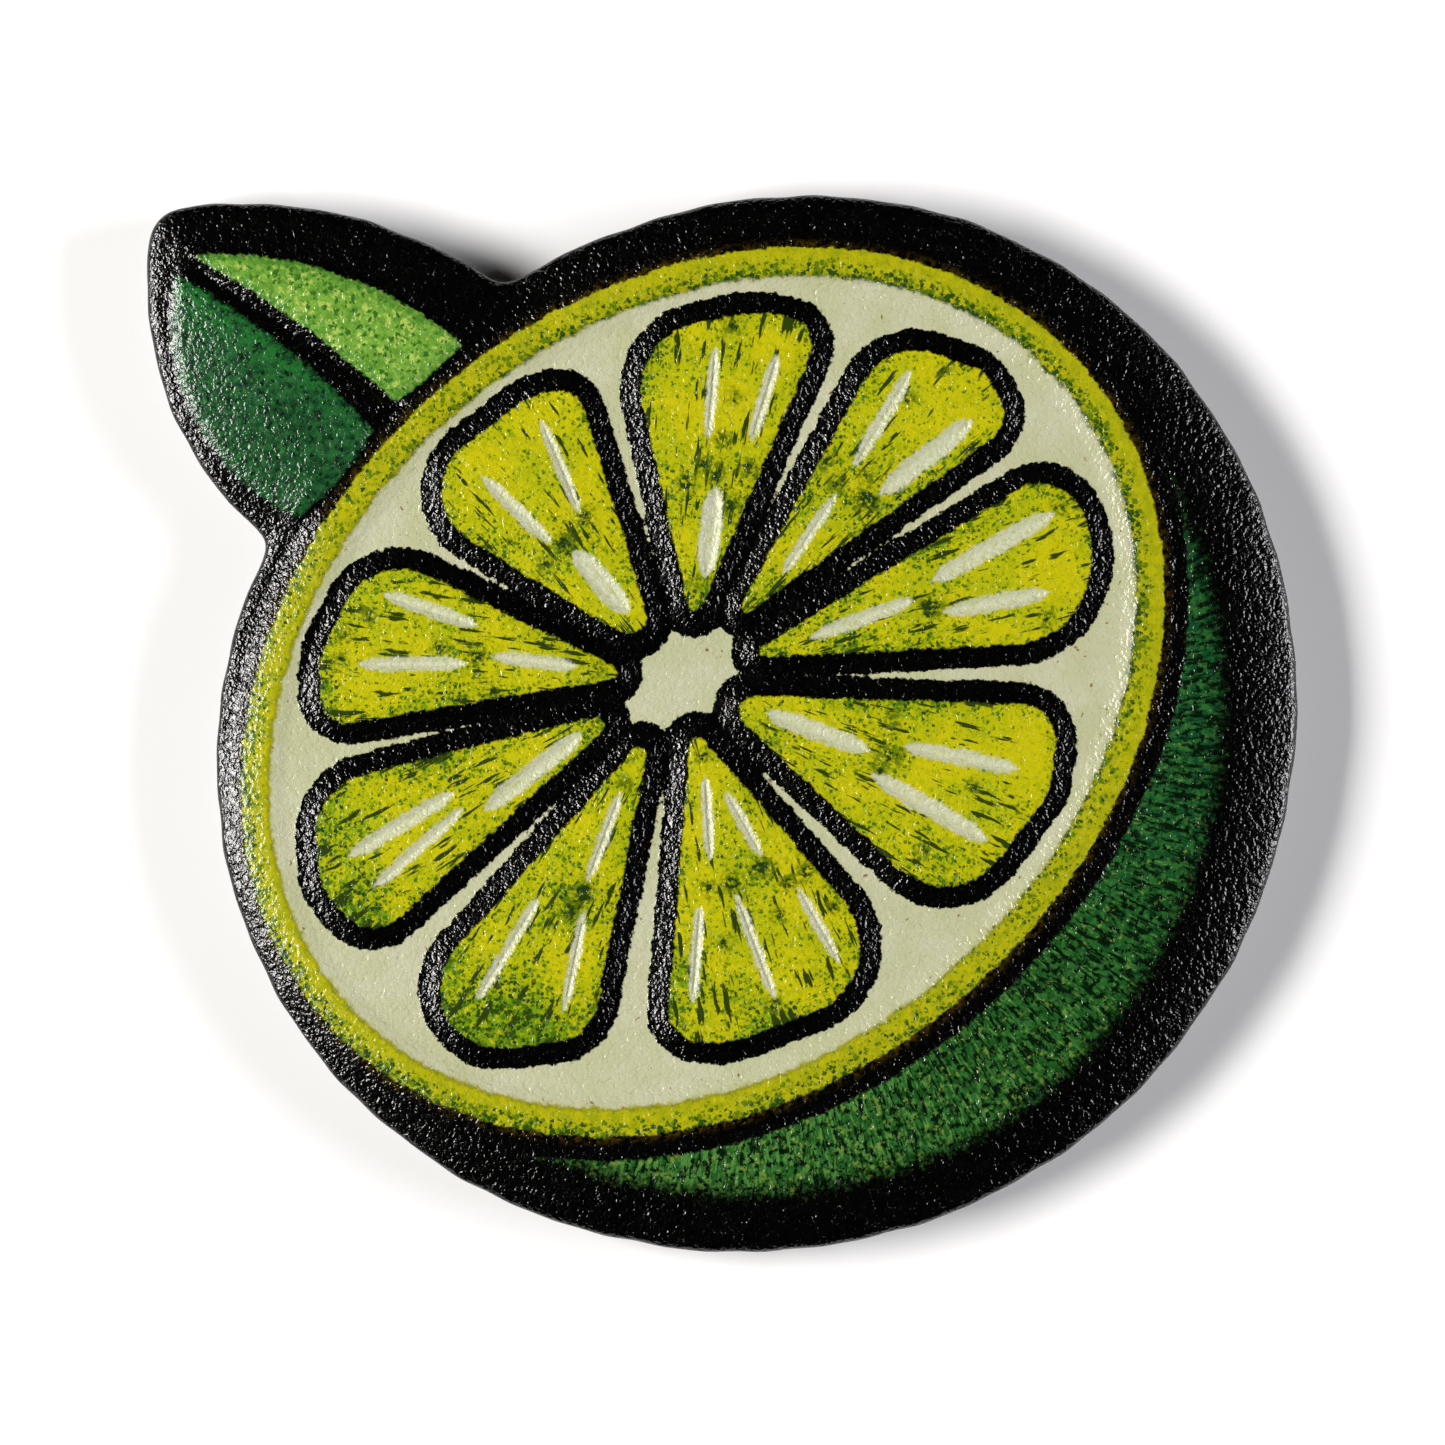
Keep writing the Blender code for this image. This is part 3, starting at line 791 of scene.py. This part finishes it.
def printed_leather():
    """Black leather under the inks, each ink a stack of mists and droplets within its own ragged edge."""
    material, tree, surface, place = new_material("printed_leather")

    def attribute(name):
        return add_node(tree, "ShaderNodeAttribute", None, attribute_name=name).outputs["Fac"]

    def laid(share, under, over):
        """One colour laid on another where the share is 1. An ink goes by its name."""
        under, over = (inks[colour] if isinstance(colour, str) else colour for colour in (under, over))
        return colour_mix(tree, share, under, over)

    def sprayed(group, scale, share, softness, where):
        inputs = {"Place": where, "Per Millimetre": scale, "Share": share, "Softness": softness}
        return use_group(tree, group, inputs)

    def drops(scale, share, softness=0.1, where=place):
        return sprayed(droplets, scale, share, softness, where)

    def misted(scale, share, softness=0.1, where=place):
        return sprayed(mist, scale, share, softness, where)

    def both(a, b):
        return maths(tree, "MULTIPLY", a, b)

    def either(a, b):
        return maths(tree, "MAXIMUM", a, b)

    def opposite(a):
        return maths(tree, "SUBTRACT", 1.0, a)

    def centred(value):
        return maths(tree, "SUBTRACT", value, 0.5)

    def moved(value, by):
        return maths(tree, "ADD", value, by)

    def inside(depth, softness=0.03):
        return rise(tree, depth, -softness, softness)

    def three_noises(scale, detail, roughness=0.5):
        colour = noise(tree, place, scale, detail, roughness)[1]
        return add_node(tree, "ShaderNodeSeparateColor", {"Color": colour}).outputs

    # Each print edge is ragged in its own way: a slow waver and a fine one
    slow = three_noises(1.4, 1.0)
    fine = three_noises(4.6, 2.0, 0.6)

    def ragged(depth, channel, slow_reach=0.2, fine_reach=0.3):
        waver = both(centred(slow[channel]), slow_reach)
        speck = both(centred(fine[channel]), fine_reach)
        return moved(moved(depth, waver), speck)

    segment = attribute("segment_depth")
    disc = attribute("disc_depth")
    fruit = attribute("fruit_depth")
    streak = attribute("streak_depth")
    spot = attribute("spot_depth")
    light_half = attribute("leaf_light")
    dark_half = attribute("leaf_dark")
    rib = attribute("midrib")
    patchy = noise(tree, place, 0.45, 2.0)[0]
    growth = add_node(tree, "ShaderNodeAttribute", None, attribute_name="growth").outputs["Vector"]
    strokes = vector_maths(tree, "MULTIPLY", growth, (0.7, 4.0, 1.0))
    bearing = add_node(tree, "ShaderNodeSeparateXYZ", {0: place}).outputs
    upper_right = both(moved(both(bearing[0], 0.6), both(bearing[1], 0.8)), 0.055)

    # Pith: cream with a faint tint and a few brown flecks
    pith = laid(rise(tree, patchy, 0.35, 0.65), "pith", "pith tint")
    pith = laid(both(misted(2.6, 0.45, 0.14), 0.35), pith, "pith shade")
    pith = laid(drops(1.6, 0.015, 0.04), pith, "pith fleck")

    # Rind: yellow under a stipple of green, thicker along one side of the band
    across_rind = maths(tree, "MULTIPLY_ADD", disc, 2 / rind_width, -1.0)
    rind_share = maths(tree, "MULTIPLY_ADD", both(across_rind, upper_right), 0.66, 0.29)
    rind = laid(misted(3.0, 0.5, 0.16), "rind", "rind tint")
    rind = laid(drops(4.6, moved(rind_share, 0.04), 0.16), rind, "rind stipple")
    rind = laid(drops(5.0, moved(rind_share, -0.14), 0.12), rind, "rind speck")

    # Pulp: yellow greened by the airbrush, droplets, dashes along the growth, dark spots and pale streaks
    shade = moved(both(attribute("green"), 0.34), both(centred(patchy), 0.5))
    shade = moved(shade, rise(tree, segment, 0.9, 0.0, 0.0, 0.1))
    pulp = laid(rise(tree, patchy, 0.4, 0.62), "pulp", "pulp tint")
    pulp = laid(misted(3.4, moved(shade, 0.36), 0.14), pulp, "pulp mist")
    pulp = laid(misted(4.8, moved(shade, 0.15), 0.09), pulp, "pulp shade")
    pulp = laid(drops(5.2, moved(shade, 0.13), 0.16), pulp, "pulp drop")
    pulp = laid(drops(5.6, moved(shade, 0.01), 0.14), pulp, "pulp speck")
    pulp = laid(drops(1.0, moved(both(shade, 0.5), 0.15), 0.07, strokes), pulp, "pulp dash")
    halo = both(rise(tree, ragged(spot, 1, 0.3, 0.5), -0.35, 0.0), misted(4.6, 0.55, 0.1))
    pulp = laid(halo, pulp, "spot halo")
    blot = both(inside(moved(ragged(spot, 2, 0.3, 0.7), -0.04), 0.08), misted(4.6, 0.66, 0.08))
    pulp = laid(blot, pulp, "spot")
    pale = inside(ragged(streak, 1, 0.14, 0.3), 0.09)
    pulp = laid(both(pale, 0.95), pulp, laid(misted(4.0, 0.35, 0.12), "streak", "streak tint"))

    # Peel: dark green with short strokes across it, mottled lighter towards the bottom
    around = maths(tree, "ARCTAN2", moved(bearing[1], 0.3), moved(bearing[0], -1.5))
    hatch = {"X": both(around, 76.0), "Y": both(disc, 1.05)}
    hatch = add_node(tree, "ShaderNodeCombineXYZ", hatch).outputs[0]
    lower = maths(tree, "MULTIPLY_ADD", upper_right, -0.25, 0.2)
    peel = laid(rise(tree, upper_right, -0.2, 0.6), "peel", "upper peel")
    peel = laid(misted(2.8, 0.5, 0.1), peel, "peel mist")
    peel = laid(misted(1.0, 0.45, 0.06, hatch), peel, "dark stroke")
    peel = laid(misted(1.3, moved(lower, 0.08), 0.06, hatch), peel, "light stroke")
    peel = laid(drops(3.6, both(lower, 0.5), 0.14), peel, "peel drop")
    peel = laid(misted(4.0, 0.38, 0.07), peel, "peel speck")

    # Leaf: a light half above the midrib and a dark half below it
    light = laid(misted(3.2, 0.5, 0.14), "light leaf", "light leaf tint")
    light = laid(drops(3.4, 0.3, 0.18), light, "light leaf drop")
    light = laid(drops(4.6, 0.28, 0.12), light, "light leaf speck")
    light = laid(both(rise(tree, light_half, 0.7, 0.0), misted(3.6, 0.5, 0.1)), light, "light leaf rim")
    dark = laid(misted(3.2, 0.5, 0.14), "dark leaf", "dark leaf tint")
    dark = laid(both(rise(tree, rib, -2.6, -0.6), misted(3.6, 0.55, 0.1)), dark, "dark leaf by the rib")
    dark = laid(misted(4.4, 0.34, 0.08), dark, "dark leaf speck")
    dark = laid(drops(4.0, 0.05, 0.1), dark, "dark leaf drop")

    # Each ink ends a black outline's width short of the next. The outlines are widest round the core
    from_core = add_node(tree, "ShaderNodeSeparateXYZ", {0: growth}).outputs[0]
    line_width = rise(tree, from_core, 3.2, 4.8, segment_line + 0.2, segment_line)
    outside_line = maths(tree, "SUBTRACT", both(ragged(segment, 1), -1.0), line_width)
    in_pith = both(inside(moved(ragged(disc, 0), -rind_width), 0.08), inside(outside_line))
    past_rind = inside(moved(ragged(disc, 0, 0.2, 0.45), -rind_width), 0.2)
    in_rind = both(inside(ragged(disc, 2), 0.05), opposite(past_rind))
    in_pulp = inside(moved(ragged(segment, 0), -0.1), 0.05)
    border = rise(tree, upper_right, -0.4, 0.6, peel_border, peel_border + 0.6)
    peel_edge = moved(maths(tree, "SUBTRACT", fruit, border), both(centred(fine[2]), 1.5))
    in_peel = both(inside(moved(both(ragged(disc, 2), -1.0), -peel_line), 0.06), inside(peel_edge, 0.5))
    in_light_half = inside(ragged(light_half, 0, 0.12, 0.35), 0.06)
    in_dark_half = inside(ragged(dark_half, 1, 0.2, 0.5), 0.1)
    in_leaf = either(in_light_half, in_dark_half)

    # Black: the leather's own finish, with a brown haze of overspray just outside the rind
    base = laid(misted(1.5, 0.4), "black", "worn black")
    beside_rind = both(rise(tree, disc, -0.45, 0.0), rise(tree, disc, 0.5, 0.2))
    base = laid(both(beside_rind, misted(4.6, 0.42, 0.12)), base, "overspray")
    base = laid(in_peel, base, peel)
    base = laid(in_pith, base, pith)
    base = laid(in_rind, base, rind)
    base = laid(in_pulp, base, pulp)
    base = laid(in_leaf, base, laid(rise(tree, rib, -0.2, 0.2), dark, light))

    # The cut wall shows the leather's dyed fibres
    wall = rise(tree, attribute("face_share"), 0.98, 0.8)
    fibre = noise(tree, vector_maths(tree, "MULTIPLY", place, (3.0, 3.0, 9.0)), 1.0, 4.0, 0.7)[0]
    fibres = laid(rise(tree, fibre, 0.35, 0.75), "cut fibre", "pale cut fibre")
    base = laid(wall, base, fibres)

    # Ink fills the grain and dulls it: hardly over the peel and leaf, more over pulp and rind, most over pith
    filled = either(both(in_pith, 0.14), either(both(in_rind, 0.12), both(in_pulp, 0.08)))
    filled = either(filled, both(in_peel, 0.05))
    dull = moved(maths(tree, "MULTIPLY_ADD", filled, 0.5, bare_roughness), both(in_leaf, 0.04))
    dull = moved(dull, both(both(in_pulp, pale), 0.2))
    dull = moved(dull, both(centred(slow[0]), 0.08))
    dull = either(dull, both(wall, wall_roughness))
    pebbles = use_group(tree, grain, {"Place": place, "Per Millimetre": 4.6, "Fineness": 0.6})
    height = both(pebbles, both(opposite(filled), grain_height))
    height = moved(height, both(both(fibre, wall), fibre_height))
    join_surface(tree, surface, base, dull, height, 0.5)
    return material


leather_finish = printed_leather()
leather = new_piece("leather_face", blank)
press = leather.modifiers.new("emboss", "NODES")
press.node_group = emboss_tree()
for socket in press.node_group.interface.items_tree:
    if socket.in_out == "INPUT" and socket.name in die_sizes:
        press[socket.identifier] = die_sizes[socket.name]
    elif socket.in_out == "INPUT" and socket.name == "Finish":
        press[socket.identifier] = leather_finish
pressed = plain_mesh(leather, "leather_face")
leather.modifiers.clear()
leather.data = pressed
bpy.data.meshes.remove(blank)
pressed.shade_smooth()


def unwrap_face(mesh, under_count, margin=0.006, under_scale=0.13):
    """Lays the face flat as seen from above, its wall just outside it and its underside small in a corner."""
    flat = np.zeros(len(mesh.vertices) * 3, np.float32)
    mesh.attributes["flat_place"].data.foreach_get("vector", flat)
    flat = flat.reshape(-1, 3)[:, :2]
    low = flat.min(axis=0)
    size = (flat.max(axis=0) - low).max()
    corners = np.zeros(len(mesh.loops), np.int32)
    mesh.loops.foreach_get("vertex_index", corners)
    laid = margin + (1 - 2 * margin) * (flat[corners] - low) / size
    under = slice(len(corners) - 3 * under_count, len(corners))
    laid[under] = margin + under_scale * (flat[corners[under]] - low) / size
    mesh.uv_layers.new(name="OFBake").data.foreach_set("uv", laid.astype(np.float32).ravel())


unwrap_face(pressed, under_count)
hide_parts("embossed_leather")
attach(leather, "root")


# ---------------------------------------------------------------------------------------------------------
# The suede backing. A thin sheet of split hide, cut a little smaller than the face so that it doesn't show
# from the front. Its brushed nap faces the surface that the patch lies on.

backing_inset = 0.3

# The cut edge of the sheet, from its top down: how far in and at what height
backing_profile = ((0.0, backing_top), (0.0, backing_top * 0.6), (0.0, 0.22), (0.05, 0.09), (0.14, 0.02))
nap_low = 0.008
nap_height = 0.016
nap_relief = 0.09
hide_relief = 0.02


def suede_sheet(rim_spacing=0.3, spacing=0.45):
    """A closed sheet with softly rounded lower edges. The nap side is slightly uneven."""
    cut = evenly_spaced(edge - outward_directions(edge) * backing_inset, rim_spacing)
    outward = outward_directions(cut)
    rings = []
    for inset, level in backing_profile:
        rings.append(np.column_stack((cut - outward * inset, np.full(len(cut), level))))
    x, y = (np.arange(low, high, spacing) for low, high in zip(cut.min(axis=0), cut.max(axis=0)))
    grid = np.stack(np.meshgrid(x, y), axis=-1).reshape(-1, 2)
    rim = rings[-1][:, :2]
    inner = grid[depth_inside(rim, grid) > spacing * 0.6]
    rng = np.random.default_rng(7)
    _, under, order = triangles_inside(np.vstack((rim, inner)), len(rim))
    _, above, above_order = triangles_inside(cut, len(cut))
    first_inner = len(rings) * len(cut)
    on_rim = order < len(rim)
    index_of = np.where(on_rim, order + (len(rings) - 1) * len(cut), order - len(rim) + first_inner)
    levels = nap_low + nap_height * rng.random(len(inner))
    vertices = np.vstack((*rings, np.column_stack((inner, levels))))
    wall = wall_between(np.arange(first_inner).reshape(len(rings), len(cut)))
    faces = wall.tolist() + index_of[under][:, ::-1].tolist() + above_order[above].tolist()
    vertices[:, :2] -= middle
    mesh = bpy.data.meshes.new("suede_sheet")
    mesh.from_pydata((vertices * MM).tolist(), [], faces)
    return mesh


def brushed_suede():
    """Dark grey split hide, with its nap brushed one way."""
    material, tree, surface, place = new_material("brushed_suede")
    brushed = vector_maths(tree, "MULTIPLY", place, (1.0, 0.45, 1.0))
    hand = noise(tree, place, 0.12, 2.0, 0.5, 0.6)[0]
    nap = noise(tree, brushed, 7.0, 4.0, 0.7)[0]
    colour = colour_mix(tree, rise(tree, hand, 0.38, 0.62), (0.05, 0.043, 0.038), (0.085, 0.074, 0.066))
    colour = colour_mix(tree, rise(tree, nap, 0.35, 0.7), colour, (0.12, 0.105, 0.095))
    flecks = use_group(tree, mist, {"Place": brushed, "Per Millimetre": 4.0, "Share": 0.2, "Softness": 0.05})
    colour = colour_mix(tree, flecks, colour, (0.025, 0.021, 0.019))
    pebbles = use_group(tree, grain, {"Place": place, "Per Millimetre": 1.6, "Fineness": 0.5})
    height = maths(tree, "MULTIPLY_ADD", nap, nap_relief, maths(tree, "MULTIPLY", pebbles, hide_relief))
    join_surface(tree, surface, colour, rise(tree, nap, 0.3, 0.7, 0.98, 0.86), height, 0.2)
    surface.inputs["Sheen Weight"].default_value = 0.25
    surface.inputs["Sheen Roughness"].default_value = 0.5
    return material


backing = new_piece("suede_back", suede_sheet())
backing.data.materials.append(brushed_suede())
backing.data.shade_smooth()
backing.data.set_sharp_from_angle(angle=math.radians(50))
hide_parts("suede_backing")
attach(backing, "root")


# ---------------------------------------------------------------------------------------------------------
# The studio. A pale sheet of card, a long soft light low on the left, a weaker one low on the right, and a
# camera that looks straight down. Nothing hangs overhead, so that the flat black leather stays black.

card_reach = 0.6
card_level = -0.00003
card_signs = ((-1, -1), (1, -1), (1, 1), (-1, 1))
card_corners = [(x * card_reach, y * card_reach, card_level) for x, y in card_signs]
card = bpy.data.meshes.new("card_floor")
card.from_pydata(card_corners, [], [(0, 1, 2, 3)])
floor = new_piece("card_floor", card)
card_finish = bpy.data.materials.new("pale_card")
card_finish.use_nodes = True
card_surface = card_finish.node_tree.nodes["Principled BSDF"]
card_surface.inputs["Base Color"].default_value = (0.88, 0.88, 0.88, 1)
card_surface.inputs["Roughness"].default_value = 0.9
card_surface.inputs["Specular IOR Level"].default_value = 0.1
card.materials.append(card_finish)


def soft_light(name, azimuth, elevation, distance, width, height, watts, colour):
    """A flat softbox that faces the patch from this side and height, in degrees and metres."""
    lamp = bpy.data.lights.new(name, "AREA")
    lamp.shape = "RECTANGLE"
    lamp.size = width
    lamp.size_y = height
    lamp.energy = watts
    lamp.color = colour
    box = bpy.data.objects.new(name, lamp)
    across = math.cos(math.radians(elevation)) * distance
    x = across * math.cos(math.radians(azimuth))
    y = across * math.sin(math.radians(azimuth))
    box.location = (x, y, math.sin(math.radians(elevation)) * distance)
    box.rotation_euler = (-box.location).to_track_quat("-Z", "Y").to_euler()
    bpy.context.scene.collection.objects.link(box)


soft_light("left_softbox", azimuth=180, elevation=34, distance=0.4, width=0.24, height=0.13, watts=2.85,
           colour=(1.0, 0.985, 0.96))
soft_light("right_softbox", azimuth=0, elevation=22, distance=0.4, width=0.26, height=0.14, watts=1.8,
           colour=(0.98, 0.97, 1.0))

# The room is dark above and pale near the floor, which lightens the shadows
dark_from = 0.3
dark_strength = 0.01
pale_strength = 1.4
world = bpy.data.worlds.new("studio_room")
world.use_nodes = True
room = world.node_tree
direction = add_node(room, "ShaderNodeTexCoord").outputs["Generated"]
upwards = add_node(room, "ShaderNodeSeparateXYZ", {0: direction}).outputs[2]
strength = rise(room, upwards, dark_from, 0.0, dark_strength, pale_strength)
room.links.new(strength, room.nodes["Background"].inputs["Strength"])
bpy.context.scene.world = world
bpy.context.scene.view_settings.view_transform = "Standard"

view_width = 0.05644
lens = 200
sensor = 36
cut_edge_level = 0.0015
camera = bpy.data.objects.new("camera", bpy.data.cameras.new("camera"))
camera.data.lens = lens
camera.data.sensor_width = sensor
camera.location = (-middle[0] * MM, -middle[1] * MM, cut_edge_level + view_width * lens / sensor)
camera.data.clip_start = 0.01
camera.data.clip_end = 2
bpy.context.scene.collection.objects.link(camera)
bpy.context.scene.camera = camera
